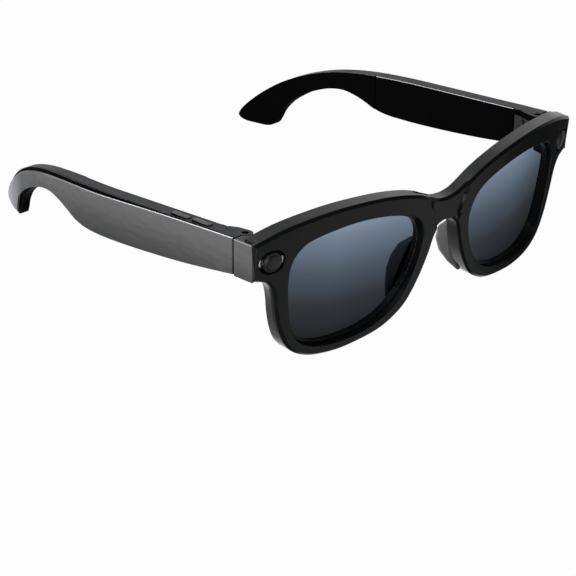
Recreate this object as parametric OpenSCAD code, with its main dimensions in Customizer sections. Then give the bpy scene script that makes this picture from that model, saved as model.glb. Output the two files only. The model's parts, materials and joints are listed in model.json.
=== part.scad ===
// Smart glasses with a camera, an indicator light, speakers and two buttons.
// The front stands upright, facing -Y, and the wearer's left is +X.
// The glasses stand open on the bottoms of the rims and on the tips of the temples.

/* [Front] */
// Half of the width across the end blocks
half_w = 73; // [71:0.5:75]
// Radius of the front's wrap, seen from above
wrap_r = 266; // [240:2:320]
// How far the middle of the front stands ahead of the end blocks
wrap_depth = 10.2; // [9.6:0.1:10.8]
// Depth of the rims, from the front face to the back face
rim_depth = 4.9; // [4.8:0.1:5.6]
// Depth of the glossy front cover
cover_depth = 1.8; // [1.6:0.1:2]
// Depth from the front face to the front of the lenses
lens_inset = 3.4; // [3:0.1:3.4]
// Thickness of a lens
lens_t = 1.4; // [1.2:0.1:1.4]

/* [Camera and light] */
// Distance of the camera and of the light from the middle
eye_x = 67; // [66.5:0.1:67.5]
// Height of the camera and of the light, counted from the top of the end blocks
eye_z = -6; // [-6.2:0.1:-5.8]
// Radius of the glass dome
dome_r = 3.1; // [2.9:0.05:3.2]

/* [Temples] */
// Angle between the temples and the upright front
temple_drop = 5.7; // [5.5:0.05:5.9]
// Thickness of a temple from its outer face to its inner face
temple_t = 5.8; // [5.6:0.1:6]
// Thickness of the satin outer panel
panel_t = 1; // [0.8:0.1:1.1]
// Distance along the temple at which it starts to curve inwards
bend_start = 60; // [58:1:64]
// How far the temple has curved inwards where it ends
bend_depth = 16.5; // [14:0.5:17]

/* [Hinges and buttons] */
// Distance of the hinge axis from the middle
hinge_x = 67.4; // [67.3:0.05:67.5]
// Distance of the hinge axis behind the end block's front corner
hinge_y = 9.1; // [9:0.05:9.2]
// Radius of the hinge pin
pin_r = 0.6; // [0.5:0.05:0.7]
// Travel of a button
button_travel = 0.4; // [0.3:0.05:0.5]

/* [Hidden] */

$fn = 96;
eps = 0.01;               // overlap that joins two layers of one piece
gap = 0.15;               // clearance round a piece that is set into another
right = -1;               // the wearer's right side
left = 1;                 // the wearer's left side

// Front and back of the whole, which put the origin under its middle
box_front = 0.04 - wrap_depth;
box_back = 128.38;
rim_bottom = -41.6;       // the rims' lowest point, counted from the top of the end blocks

// Front outline, right half seen from behind: x from the middle, z from the end block's top
brow_line = [[0, -3.1], [4, -2.6], [8, -1], [13, 1.2], [20, 3.2], [30, 4.8], [43, 5.4], [54, 4.7],
    [64, 3], [half_w, 0]];
end_z = -11.2;          // height of the end block
rim_line = [[half_w, end_z], [70.3, -11.8], [68, -12.6], [66.2, -14.8], [65.2, -18], [64.5, -22],
    [63.5, -26.5], [62, -31], [59.9, -35], [56.8, -38.1], [52.4, -40.2], [47.7, -41.2],
    [41, rim_bottom], [34, -41], [27, -39.9], [21.2, -37.8], [15.3, -33.8], [10.6, -27],
    [7.4, -20], [5.4, -14], [3.4, -11.6], [0, -10.9]];
// Front edge of the lens opening, clockwise from its outer side
lens_line = [[61.1, -14], [60.6, -8.6], [58, -4.4], [53, -1.9], [41, -0.4], [29, -1], [18.5, -3.3],
    [13, -6.9], [10.8, -12.4], [11.7, -19], [14.6, -26], [19.2, -31.8], [25.6, -35.8], [34, -38],
    [44, -38.4], [51.6, -37], [56.8, -33.6], [59.3, -27.8], [60.7, -20]];
ledge = 1;              // how far the rear frame's opening is drawn in behind the cover's
bridge_step = 0.7;      // how far the bridge lies behind the rims' front face
// Half outline of the sunk face of the bridge
bridge_half = [[0, 6], [9.4, 6], [8.6, 0], [6.7, -6], [4.9, -12.5], [0, -12.5]];

// Temple side view: y along the temple, z from its top
temple_top = [[8.7, 0], [20, -0.4], [40, -1.2], [62, -2.1], [80, -3], [90, -4], [98, -5.4],
    [106, -7.7], [113, -10.6], [119, -14], [125, -18.5], [129.6, -22.9], [131.6, -25.9]];
temple_tip = [[131.4, -27.4], [129.2, -28.7], [125.2, -29.25], [121.4, -29.5], [118.8, -28.6],
    [117.3, -26.2], [115.9, -23.2], [113, -19.6], [109.4, -16.8], [105.4, -14.4]];
underside = [[101, -12.5], [96.4, -11.2], [91.5, -10.8], [86.8, -11.7], [82.2, -13.3],
    [78.5, -14.9], [75, -15.8], [70, -16.3], [60, -16.2], [45, -15.3], [28, -13.7], [8.7, -11.1]];
// Side view of the satin panel, which leaves a black strip over it and at the tip
panel_top = [[8.7, -0.02], [20, -0.5], [40, -1.5], [62, -2.9], [80, -4], [90, -5.1], [98, -6.5],
    [106, -8.8], [113, -11.6], [119, -15], [125, -19.3], [129.1, -23.3], [130.5, -25.8]];
panel_tip = [[130, -27.1], [127.6, -28.2], [124, -28.6], [121.2, -28.2], [119.8, -26.7],
    [119, -24.6], [117.6, -22], [114.6, -19.2], [110.6, -16.6], [106, -14.4]];
tip_start = 78;         // where the ear tip starts
cover_start = 18.6;     // where the inner cover starts
cover_end = 77.8;       // where the inner cover ends
cover_t = 0.8;          // thickness of the inner cover
tip_thin = 2.4;         // how much thinner the temple is at its tip
temple_end = 133;
bend_length = 70;       // length of the inward curve over which bend_depth is counted
ribbon_step = 4;        // distance between the points of a temple's curve in plan

end_panel_y = [1.1, 8.2];   // front and back of the end block's satin panel
ear_r = 2.2;                // radius of the temple's ear over the hinge
knuckle_r = 1.6;
knuckles = [[-4.4, -2.4], [-6.95, -4.45], [-9, -7]];
pin_top = -0.45;
pin_head_r = 0.85;
pin_bottom = -9.3;
leaf_end = 18.2;

button_y = [23.4, 32];      // the front button and the rear button
button_x = 2.8;             // depth of the buttons' centre line behind the outer face
button_size = [1.9, 7];
button_proud = 0.35;
button_flange = 0.35;

bezel_size = [8.7, 7.2];    // pill-shaped recess round the dome
bezel_y = [0.6, 1.76];      // front and back of the bezel, behind the front's face
bezel_hole_r = 2.6;
dome_h = [-0.58, -0.4, 0.1, 0.3];   // a dome's foot, hollow, shoulder and bulge
barrel_r = 2.35;
barrel_y = [0.75, 3.5];     // front and back of the camera's barrel
eye_board = [5.8, 0.88];    // side and thickness of the boards behind the camera and the light
pad_r = 2.2;                // radius of the nose pads' edges
pad_line = [[9, -4.6, -17.6], [9.8, -2, -20.2], [10.9, -0.8, -23.6], [12.4, -1, -27.2],
    [14.4, -2.8, -30.6], [16.4, -5, -33]];
screw_z = [-4.3, -8.3];     // heights of the screws in the temple's hinge leaf
screw_y = 15.4;
board_y = [21, 56];         // front and back of the main board and of the touch board
board_z = -10.6;            // lower edge of both boards
battery_y = [37, 56.5];
battery_z = [-12.6, -4];
speaker_y = 58;
speaker_len = 14;
mesh_z = -14.15;            // lower face of the speaker mesh
charge_y = [24, 36];        // front and back of the charging pad
charge_z = [-10, -4];
contact_y = [27.6, 30, 32.4];
contact_r = 0.7;
pin_gap = 0.02;             // clearance round the hinge pin

// ---- helpers -------------------------------------------------------------

// A point on the smooth curve through a, b, c and d, between b and c
function between(a, b, c, d, t) =
    0.5 * (2 * b + (c - a) * t + (2 * a - 5 * b + 4 * c - d) * t * t
    + (3 * b - a - 3 * c + d) * t * t * t);

// A smooth closed curve through all the points
function loop(p, steps = 4) = [
    for (i = [0:len(p) - 1]) for (k = [0:steps - 1])
        between(p[(i + len(p) - 1) % len(p)], p[i], p[(i + 1) % len(p)],
            p[(i + 2) % len(p)], k / steps)];

// A smooth open curve from the first point to the last
function run(p, steps = 4) = [
    for (i = [0:len(p) - 2]) for (k = [0:steps - 1])
        between(p[max(i - 1, 0)], p[i], p[i + 1], p[min(i + 2, len(p) - 1)], k / steps),
    p[len(p) - 1]];

function flip(p) = [for (i = [len(p) - 1:-1:0]) [-p[i].x, p[i].y]];
function tail(p) = [for (i = [1:len(p) - 1]) p[i]];
function head(p) = [for (i = [0:len(p) - 2]) p[i]];
function backwards(p) = [for (i = [len(p) - 1:-1:0]) p[i]];
function unit(v) = v / norm(v);

// The outline moved along its normals: outwards for a clockwise outline and positive d
function grow(p, d) = [for (i = [0:len(p) - 1])
    let (a = p[(i + len(p) - 1) % len(p)], b = p[(i + 1) % len(p)], t = unit(b - a))
        p[i] + d * [-t.y, t.x]];

// How far the temple has curved inwards at y, and its thickness there
function bend(y) = y < bend_start ? 0 : bend_depth * pow((y - bend_start) / bend_length, 2);
function thick(y) = temple_t - tip_thin * max(0, y - tip_start) / (temple_end - tip_start);

brow_half = run(brow_line);
rim_half = run(rim_line);
front_half = concat(brow_half, rim_half);       // clockwise, from the top to the nose notch
front_outline = concat(front_half, head(tail(flip(front_half))));
lens_outline = backwards(loop(lens_line));      // clockwise
temple_outline = run(concat(temple_top, temple_tip, underside), 6);
panel_outline = run(concat(panel_top, panel_tip, underside), 6);

// Puts a part from the front's frame into the row's frame
module placed() {
    translate([0, -(box_front + box_back) / 2, -rim_bottom]) children();
}

// Mirrors a part drawn for the left side over to the right side
module on_side(side) {
    if (side == left) children();
    else mirror([1, 0, 0]) children();
}

// Turns a part from the temples' frame into the front's frame
module dropped() {
    rotate([-temple_drop, 0, 0]) children();
}

// An outline in x and z, extruded along y
module extruded_y(outline, y0, y1) {
    translate([0, y1, 0]) rotate([90, 0, 0]) linear_extrude(y1 - y0) polygon(outline);
}

// An outline in y and z, extruded along x
module extruded_x(outline, x0, x1) {
    translate([x0, 0, 0]) rotate([90, 0, 90]) linear_extrude(x1 - x0) polygon(outline);
}

// The curved layer of the front between two depths behind its front face
module wrap(d0, d1) {
    translate([0, wrap_r - wrap_depth, -60]) difference() {
        cylinder(r = wrap_r - d0, h = 80, $fn = 360);
        translate([0, 0, -1]) cylinder(r = wrap_r - d1, h = 82, $fn = 360);
    }
}

// A flat outline shaped to the front's wrap between two depths
module wrapped(outline, d0, d1) {
    intersection() {
        wrap(d0, d1);
        extruded_y(outline, -wrap_depth - 2, 12);
    }
}

// A plan shape between two depths behind the temple's outer face
module ribbon(y0, y1, d0, d1, inner = false) {
    first = ribbon_step * ceil(y0 / ribbon_step + 0.01);
    ys = concat([y0], [for (y = [first:ribbon_step:y1 - 0.1]) y], [y1]);
    front_side = [for (y = ys) [half_w - bend(y) - d0, y]];
    back_side = [for (y = ys) [half_w - bend(y) - (inner ? thick(y) - d1 : d1), y]];
    translate([0, 0, -32]) linear_extrude(36) polygon(concat(front_side, backwards(back_side)));
}

// The temple's side view cut to a plan shape
module temple_slice(y0, y1, d0, d1, outline = temple_outline, inner = false) {
    intersection() {
        extruded_x(outline, 45, half_w + 2);
        ribbon(y0, y1, d0, d1, inner);
    }
}

module box(p0, p1) {
    translate(p0) cube(p1 - p0);
}

// A pill with its long side along x, extruded along y
module pill_y(size, y0, y1) {
    r = size.y / 2;
    for (s = [-1, 1])
        translate([s * (size.x / 2 - r), y1, 0]) rotate([90, 0, 0]) cylinder(r = r, h = y1 - y0);
    box([-(size.x / 2 - r), y0, -r], [size.x / 2 - r, y1, r]);
}

// A pill with its long side along y, extruded along z
module pill_z(size, z0, z1) {
    r = size.x / 2;
    for (s = [-1, 1])
        translate([0, s * (size.y / 2 - r), z0]) cylinder(r = r, h = z1 - z0);
    box([-r, -(size.y / 2 - r), z0], [r, size.y / 2 - r, z1]);
}

// The camera and the light face along the front's wrap; y counts from the front's face
module at_eye() {
    translate([eye_x, wrap_r - wrap_depth - sqrt(wrap_r * wrap_r - eye_x * eye_x), eye_z])
        rotate([0, 0, asin(eye_x / wrap_r)]) children();
}

module rod_y(r, y0, y1) {
    translate([0, y1, 0]) rotate([90, 0, 0]) cylinder(r = r, h = y1 - y0);
}

module at_hinge() {
    translate([hinge_x, hinge_y, 0]) children();
}

module both_sides() {
    children();
    mirror([1, 0, 0]) children();
}

// ---- front -----------------------------------------------------------------

// The block behind the end of the rim, which carries the hinge
module end_block() {
    dropped() translate([0, 0, end_z]) linear_extrude(-end_z - 0.05)
        polygon([[62.6, 3], [64.4, end_panel_y[1]], [half_w, end_panel_y[1]], [half_w, 3]]);
}

// Room for the satin panel on the end block's side
module end_panel_room() {
    dropped() box([half_w - panel_t, end_panel_y[0], end_z - 1], [half_w + 1, 12, 2]);
}

// Room for the hinge: the temple's ear, its knuckles and the front hinge's leaf
module hinge_room() {
    dropped() {
        at_hinge() {
            translate([0, 0, -2.55]) cylinder(r = ear_r + 0.3, h = 6);
            translate([0, 0, knuckles[2][0] - 0.5]) cylinder(r = knuckle_r + 0.3, h = 9);
        }
        box([hinge_x - 1.2, 4.8, -9.2], [hinge_x + 1.2, hinge_y, -2.2]);
        box([60, hinge_y - ear_r - 0.3, -2.55], [hinge_x, 12, 1]);
    }
}

// A square block behind the camera or the light, from y0 backwards
module eye_box(size, y0) {
    box([-size.x / 2, y0, -size.x / 2], [size.x / 2, y0 + size.y, size.x / 2]);
}

module camera_room() {
    at_eye() {
        rod_y(barrel_r + 0.3, 0, barrel_y[1] + 0.7);
        eye_box(eye_board + [0.4, 0.5], barrel_y[1]);
    }
}

module front_cover() color("#16181a") placed() difference() {
    wrapped(front_outline, 0, cover_depth);
    both_sides() {
        wrapped(lens_outline, -1, cover_depth + 1);
        end_panel_room();
        at_eye() pill_y(bezel_size, -6, 6);
    }
    wrapped(concat(bridge_half, head(tail(flip(bridge_half)))), -1, bridge_step);
}

module rear_frame() color("#1c1e20") placed() difference() {
    union() {
        wrapped(front_outline, cover_depth, rim_depth);
        both_sides() end_block();
    }
    both_sides() {
        wrapped(grow(lens_outline, -ledge), cover_depth - 1, lens_inset + eps);
        wrapped(grow(lens_outline, 0.5), lens_inset, rim_depth + 1);
        end_panel_room();
        hinge_room();
        camera_room();
        // Way for the flex cable, from the brow to the board
        at_eye() box([-8, 0, 1.8], [0, 4.2, 3.2]);
    }
    wrapped(brow_strip(gap), cover_depth - 1, cover_depth + 0.6);
    at_microphone() pill_z([1.7, 7.9], -2, 4);
}

// A strip that follows the brow, for the flex cable and its channel
function brow_strip(extra) = let (
    edge = [for (p = brow_half) if (p.x < 62) p],
    top = concat(flip(tail(edge)), edge))
    concat([for (p = top) [p.x, p.y - 1.7 + extra]],
        backwards([for (p = top) [p.x, p.y - 3.5 - extra]]));

module brow_flex() color("#b06a22") placed()
    wrapped(brow_strip(0), cover_depth + 0.1, cover_depth + 0.4);

// The microphone lies on the slope between the right rim and the bridge
module at_microphone() {
    translate([-10.5, 3.65 - wrap_depth, -0.2]) rotate([0, 23, 0]) rotate([0, 0, 90]) children();
}

module bridge_microphone() color("#0c0c0d") placed() at_microphone()
    pill_z([1.4, 7.6], -1.9, -0.5);

module lens(side) color("#5b6b7c") placed() on_side(side)
    wrapped(grow(lens_outline, 0.4), lens_inset + 0.02, lens_inset + lens_t);

// A smooth bulge behind the rim, clear of the lens
module nose_pad(side) color("#6a6d70") placed() on_side(side) intersection() {
    hull() {
        for (c = pad_line) translate(c) sphere(r = pad_r, $fn = 32);
    }
    wrap(rim_depth + 0.02, rim_depth + 9);
}

module end_panel(side) color("#66686a") placed() on_side(side) dropped()
    box([half_w - panel_t + 0.02, end_panel_y[0] + 0.05, end_z],
        [half_w, end_panel_y[1], -0.05]);

module bezel(side) color("#c9ccd0") placed() on_side(side) at_eye() difference() {
    pill_y(bezel_size - [0.1, 0.1], bezel_y[0], bezel_y[1]);
    rod_y(bezel_hole_r, -1, 3);
}

// A low dome, turned about the y axis
module dome(side, tint) color(tint) placed() on_side(side) at_eye()
    rotate([90, 0, 0]) rotate_extrude() polygon([
        [0, dome_h[1]], [2.4, dome_h[1]], [2.4, dome_h[0]], [dome_r, dome_h[0]],
        [dome_r, dome_h[2]],
        for (a = [0:15:90]) [(dome_r - 0.3) * cos(a), dome_h[2] + dome_h[3] * sin(a)]]);

module camera_barrel() color("#202226") placed() on_side(right) at_eye()
    rod_y(barrel_r, barrel_y[0], barrel_y[1]);

module camera_board() color("#1f5a38") placed() on_side(right) at_eye()
    eye_box(eye_board, barrel_y[1] + 0.02);

module light_board() color("#1f5a38") placed() on_side(left) at_eye() {
    eye_box(eye_board, barrel_y[1] + 0.02);
    rod_y(1.2, 0.8, barrel_y[1] + 0.02);
}

module front_hinge(side) color("#b9bcc0") placed() on_side(side) dropped() difference() {
    union() {
        at_hinge() translate([0, 0, knuckles[1][0]])
            cylinder(r = knuckle_r, h = knuckles[1][1] - knuckles[1][0]);
        box([hinge_x - 1, 6, knuckles[1][0]], [hinge_x + 1, hinge_y, knuckles[1][1]]);
        box([hinge_x - 1, 5, -9], [hinge_x + 1, 6.6, -2.4]);
    }
    pin_bore();
}

module pin_bore() {
    at_hinge() translate([0, 0, -20]) cylinder(r = pin_r + pin_gap, h = 30);
}

module hinge_pin(side) color("#d5d7da") placed() on_side(side) dropped() at_hinge() {
    translate([0, 0, pin_bottom]) cylinder(r = pin_r, h = pin_top - pin_bottom - 0.5);
    difference() {
        translate([0, 0, pin_top - 0.6]) cylinder(r = pin_head_r, h = 0.6);
        box([-1.2, -0.15, pin_top - 0.25], [1.2, 0.15, pin_top + 1]);
    }
}

// ---- temples ---------------------------------------------------------------

// The hollow that holds the electronics
hollow = [[20.2, -2.2], [60, -3.4], [73.5, -4], [75, -6], [75, -12], [72, -14.2], [58, -14.2],
    [40, -13.2], [20.2, -11]];

module temple_case(side) color("#3b3e41") placed() on_side(side) dropped() difference() {
    union() {
        temple_slice(8.7, tip_start, panel_t, temple_t - cover_t);
        difference() {
            temple_slice(8.7, cover_start - gap, temple_t - cover_t - eps, temple_t);
            box([60, 8, -9.4], [half_w - 3.7, cover_start, -2.35]);
        }
        // The ear over the hinge
        translate([0, 0, -2.3]) linear_extrude(2.2) union() {
            polygon([[68.4, 16.4], [67, 15.6], [65.8, 13], [hinge_x - ear_r, hinge_y],
                [hinge_x + ear_r, hinge_y], [69.6, 12]]);
            translate([hinge_x, hinge_y]) circle(r = ear_r);
        }
    }
    box([60, 8, -9.4], [half_w - 3.7, cover_start - gap, -2.35]);
    at_hinge() translate([0, 0, -3]) cylinder(r = pin_head_r + gap, h = 6);
    intersection() {
        extruded_x(hollow, 60, 80);
        ribbon(19, 76, panel_t + 0.8, temple_t + 1);
    }
    // Slots for the sound in the underside
    for (i = [0:3]) translate([half_w, speaker_y + 3.2 + 2.6 * i, 0])
        box([-4.5, 0, -20], [-2.5, 1, -13.9]);
    if (side == right) for (y = button_y) button_hole(y);
    for (z = screw_z) translate([0, screw_y, z]) screw_hole();
}

module screw_hole() {
    translate([half_w - 4.6, 0, 0]) rotate([0, 90, 0]) cylinder(r = 0.5, h = 2.4);
}

// Height of the case's top at a button
function top_z(y) = 0.45 - y / 25;

module button_hole(y) {
    translate([half_w - button_x, y, 0]) {
        pill_z(button_size + [0.6, 0.6], -4, 3);
        pill_z(button_size + [1.3, 1.3], -5, top_z(y) - 1.1);
    }
}

module button(y) color("#4a4d50") placed() on_side(right) dropped()
    translate([half_w - button_x, y, 0]) {
        pill_z(button_size, top_z(y) - 1.5, top_z(y) + button_proud);
        pill_z(button_size + [1, 1], top_z(y) - 1.5, top_z(y) - 1.5 + button_flange);
    }

module button_switches() color("#8d8f92") placed() on_side(right) dropped()
    for (y = button_y) translate([half_w - button_x, y, 0]) {
        box([-0.8, -2, top_z(y) - 3.1], [0.8, 2, top_z(y) - 2.4]);
        translate([0, 0, top_z(y) - 2.41]) cylinder(r = 0.6, h = 0.91 - button_travel - 0.02);
    }

module outer_panel(side) color("#66686a") placed() on_side(side) dropped()
    temple_slice(8.7, temple_end, 0, panel_t - 0.02, panel_outline);

module inner_cover(side) color("#141516") placed() on_side(side) dropped() difference() {
    temple_slice(cover_start, cover_end, temple_t - cover_t + 0.02, temple_t);
    if (side == right)
        box([60, charge_y[0] - 0.1, charge_z[0] - 0.1], [70, charge_y[1] + 0.1, charge_z[1] + 0.1]);
}

module ear_tip(side) color("#101112") placed() on_side(side) dropped()
    temple_slice(tip_start + 0.02, temple_end, panel_t, 0, inner = true);

module temple_hinge(side) color("#b9bcc0") placed() on_side(side) dropped() difference() {
    union() {
        for (k = [knuckles[0], knuckles[2]]) {
            at_hinge() translate([0, 0, k[0]]) cylinder(r = knuckle_r, h = k[1] - k[0]);
            box([hinge_x, hinge_y, k[0]], [hinge_x + knuckle_r, hinge_y + 2.4, k[1]]);
        }
        box([hinge_x, hinge_y + 2, knuckles[2][0]], [hinge_x + knuckle_r, leaf_end, knuckles[0][1]]);
    }
    pin_bore();
    for (z = screw_z) translate([hinge_x - 1, screw_y, z]) rotate([0, 90, 0])
        cylinder(r = 0.55, h = 5);
}

module hinge_screws(side) color("#d5d7da") placed() on_side(side) dropped()
    for (z = screw_z) translate([hinge_x, screw_y, z]) rotate([0, 90, 0]) {
        translate([0, 0, -0.42]) cylinder(r = 0.95, h = 0.4);
        translate([0, 0, -0.1]) cylinder(r = 0.48, h = 3);
    }

module battery(side) color("#9aa3ab") placed() on_side(side) dropped()
    box([half_w - 4.8, battery_y[0], battery_z[0]], [half_w - 3, battery_y[1], battery_z[1]]);

module main_board() color("#1f5a38") placed() on_side(right) dropped() {
    box([half_w - 2.7, board_y[0], board_z], [half_w - 1.9, board_y[1], -4.2]);
    box([half_w - 3.5, 24, -9.6], [half_w - 2.7, 33, -5]);
}

module touch_board() color("#1f5a38") placed() on_side(left) dropped() {
    box([half_w - 2.4, board_y[0], board_z], [half_w - 1.9, board_y[1], -3.6]);
    box([half_w - 3.3, 24, -8.6], [half_w - 2.4, 30, -5]);
}

module speaker(side) color("#2b2d2f") placed() on_side(side) dropped()
    box([half_w - 4.7, speaker_y, -12.6], [half_w - 2.4, speaker_y + speaker_len, -4.8]);

module speaker_mesh(side) color("#3a3c3e") placed() on_side(side) dropped()
    box([half_w - 4.9, speaker_y + 2, mesh_z],
        [half_w - 2.3, speaker_y + speaker_len - 1, mesh_z + 0.2]);

module charge_pad() color("#202224") placed() on_side(right) dropped() difference() {
    box([half_w - temple_t - 0.2, charge_y[0], charge_z[0]],
        [half_w - temple_t + 1, charge_y[1], charge_z[1]]);
    contacts(contact_r + 0.02, 60, 12);
}

module charge_contacts() color("#d8b45a") placed() on_side(right) dropped()
    contacts(contact_r, half_w - temple_t - 0.15, 1.6);

module contacts(r, x, length) {
    for (y = contact_y) translate([x, y, (charge_z[0] + charge_z[1]) / 2]) rotate([0, 90, 0])
        cylinder(r = r, h = length);
}

front_cover();
rear_frame();
lens(right);  // right_lens
lens(left);  // left_lens
nose_pad(right);  // right_nose_pad
nose_pad(left);  // left_nose_pad
end_panel(right);  // right_end_panel
end_panel(left);  // left_end_panel
bezel(right);  // camera_bezel
dome(right, "#31363c");  // camera_dome
camera_barrel();
camera_board();
bezel(left);  // light_bezel
dome(left, "#5a5f66");  // light_dome
light_board();
brow_flex();
bridge_microphone();
front_hinge(right);  // right_front_hinge
front_hinge(left);  // left_front_hinge
hinge_pin(right);  // right_hinge_pin
hinge_pin(left);  // left_hinge_pin
temple_case(right);  // right_temple_case
temple_case(left);  // left_temple_case
outer_panel(right);  // right_outer_panel
outer_panel(left);  // left_outer_panel
inner_cover(right);  // right_inner_cover
inner_cover(left);  // left_inner_cover
ear_tip(right);  // right_ear_tip
ear_tip(left);  // left_ear_tip
temple_hinge(right);  // right_temple_hinge
temple_hinge(left);  // left_temple_hinge
hinge_screws(right);  // right_hinge_screws
hinge_screws(left);  // left_hinge_screws
battery(right);  // right_battery
battery(left);  // left_battery
main_board();
touch_board();
speaker(right);  // right_speaker
speaker(left);  // left_speaker
speaker_mesh(right);  // right_speaker_mesh
speaker_mesh(left);  // left_speaker_mesh
button(button_y[0]);  // front_button
button(button_y[1]);  // rear_button
button_switches();
charge_pad();
charge_contacts();
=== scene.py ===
"""Looks of the smart glasses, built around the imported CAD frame."""

import json
import math

import bmesh
import bpy
from mathutils import Matrix, Vector
from mathutils.geometry import delaunay_2d_cdt

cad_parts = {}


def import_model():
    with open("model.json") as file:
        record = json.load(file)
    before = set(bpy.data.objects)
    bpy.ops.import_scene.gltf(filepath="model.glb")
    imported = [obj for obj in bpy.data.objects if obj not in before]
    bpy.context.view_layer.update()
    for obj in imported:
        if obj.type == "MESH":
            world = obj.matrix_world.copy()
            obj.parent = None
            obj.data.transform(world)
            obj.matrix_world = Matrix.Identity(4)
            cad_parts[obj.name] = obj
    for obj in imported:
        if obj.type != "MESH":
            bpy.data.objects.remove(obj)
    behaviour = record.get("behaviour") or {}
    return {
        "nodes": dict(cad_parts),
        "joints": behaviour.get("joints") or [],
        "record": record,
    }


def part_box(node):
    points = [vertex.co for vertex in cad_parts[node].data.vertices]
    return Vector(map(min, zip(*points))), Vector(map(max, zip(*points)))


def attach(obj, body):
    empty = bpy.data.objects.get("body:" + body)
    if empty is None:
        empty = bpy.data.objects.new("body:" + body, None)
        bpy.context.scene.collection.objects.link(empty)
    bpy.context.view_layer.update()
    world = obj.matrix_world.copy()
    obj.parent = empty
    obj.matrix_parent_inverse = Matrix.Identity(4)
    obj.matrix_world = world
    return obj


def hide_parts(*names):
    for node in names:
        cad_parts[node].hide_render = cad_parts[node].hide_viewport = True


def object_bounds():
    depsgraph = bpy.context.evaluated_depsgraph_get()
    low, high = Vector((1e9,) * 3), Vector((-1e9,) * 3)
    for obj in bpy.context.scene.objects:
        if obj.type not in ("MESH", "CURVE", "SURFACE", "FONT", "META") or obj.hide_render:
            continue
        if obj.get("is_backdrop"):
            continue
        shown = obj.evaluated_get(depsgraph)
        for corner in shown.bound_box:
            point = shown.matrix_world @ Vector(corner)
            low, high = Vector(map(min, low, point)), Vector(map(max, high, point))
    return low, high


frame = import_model()
cad_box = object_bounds()

MM = 0.001
RIGHT, LEFT = -1, 1

# ---- Sizes, in millimetres, as the CAD has them --------------------------------------------
# Distances are from the end block's top front corner. The eyes are the camera and the light.

HALF_W = 73.0
WRAP_R = 266.0
WRAP_DEPTH = 10.2
RIM_DEPTH = 4.9
COVER_DEPTH = 1.8
CHAMFER = 0.76
EDGE = 0.08
BRIDGE_STEP = 0.7
LENS_INSET = 3.4
LENS_T = 1.4
END_Z = -11.2
END_PANEL_FRONT = 1.1
RIM_MIDDLE = Vector((36, -18))
NARROWING = 0.25

EYE_X, EYE_Z = 67.0, -6.0
EYE_TURN = math.asin(EYE_X / WRAP_R)
EYE_PILL = (8.7, 7.2)
EYE_POCKET = (4.7, 4.2)  # reaches, across and up, of the part of the cover turned with the eye
DOME_R = 3.1

PANEL_T = 1.0
PANEL_FRONT = 8.9
BEND_START, BEND_DEPTH, BEND_LENGTH = 60.0, 16.5, 70.0
CROWN_DEPTH, CROWN_LAYER, CROWN_END, CROWN_FADE = 0.26, 0.3, 100.0, 16.0
HINGE = Vector((67.4, 9.1, -5.7))

# The front's outlines: distance from the middle, then height
BROW_LINE = [(0, -3.1), (4, -2.6), (8, -1), (13, 1.2), (20, 3.2), (30, 4.8), (43, 5.4), (54, 4.7),
             (64, 3), (HALF_W, 0)]
RIM_LINE = [(HALF_W, END_Z), (70.3, -11.8), (68, -12.6), (66.2, -14.8), (65.2, -18), (64.5, -22),
            (63.5, -26.5), (62, -31), (59.9, -35), (56.8, -38.1), (52.4, -40.2), (47.7, -41.2),
            (41, -41.6), (34, -41), (27, -39.9), (21.2, -37.8), (15.3, -33.8), (10.6, -27),
            (7.4, -20), (5.4, -14), (3.4, -11.6), (0, -10.9)]
LENS_LINE = [(61.1, -14), (60.6, -8.6), (58, -4.4), (53, -1.9), (41, -0.4), (29, -1), (18.5, -3.3),
             (13, -6.9), (10.8, -12.4), (11.7, -19), (14.6, -26), (19.2, -31.8), (25.6, -35.8),
             (34, -38), (44, -38.4), (51.6, -37), (56.8, -33.6), (59.3, -27.8), (60.7, -20)]
# Where the bridge's step starts and ends: height, then distance from the middle
WEDGE_OUTER = [(6, 11), (1.6, 10.2), (-3.2, 8.8), (-7.2, 6.5), (-11.5, 4.9), (-14, 4.5)]
WEDGE_INNER = [(6, 8.8), (0, 8.3), (-6, 6.5), (-11.5, 4.7), (-14, 4.3)]

# The temple panel's outline: distance back, then height
UNDERSIDE = [(101, -12.5), (96.4, -11.2), (91.5, -10.8), (86.8, -11.7), (82.2, -13.3), (78.5, -14.9),
             (75, -15.8), (70, -16.3), (60, -16.2), (45, -15.3), (28, -13.7), (8.7, -11.1)]
PANEL_TOP = [(8.7, -0.02), (20, -0.5), (40, -1.5), (62, -2.9), (80, -4), (90, -5.1), (98, -6.5),
             (106, -8.8), (113, -11.6), (119, -15), (125, -19.3), (129.1, -23.3), (130.5, -25.8)]
PANEL_TIP = [(130, -27.1), (127.6, -28.2), (124, -28.6), (121.2, -28.2), (119.8, -26.7),
             (119, -24.6), (117.6, -22), (114.6, -19.2), (110.6, -16.6), (106, -14.4)]

# ---- Frames --------------------------------------------------------------------------------

fold = next(j for j in frame["joints"] if j["name"] == "left_temple_fold")
ACROSS = Vector((1, 0, 0))
TEMPLE_UP = Vector(fold["axis"]).normalized()
TEMPLE_BACK = TEMPLE_UP.cross(ACROSS)
CORNER = Vector(fold["pos_m"]) - MM * (HINGE.x * ACROSS + HINGE.y * TEMPLE_BACK + HINGE.z * TEMPLE_UP)


def temple_point(x, y, z):
    """A point by its distances across, back and up along the temple."""
    return CORNER + MM * (x * ACROSS + y * TEMPLE_BACK + z * TEMPLE_UP)


def front_point(x, y, z):
    """A point by its distances across, back and up."""
    return CORNER + MM * Vector((x, y, z))


def wrap_y(x, depth=0):
    """How far back a layer of the wrapped front lies at x."""
    return WRAP_R - WRAP_DEPTH - math.sqrt((WRAP_R - depth) ** 2 - x * x)


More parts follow.
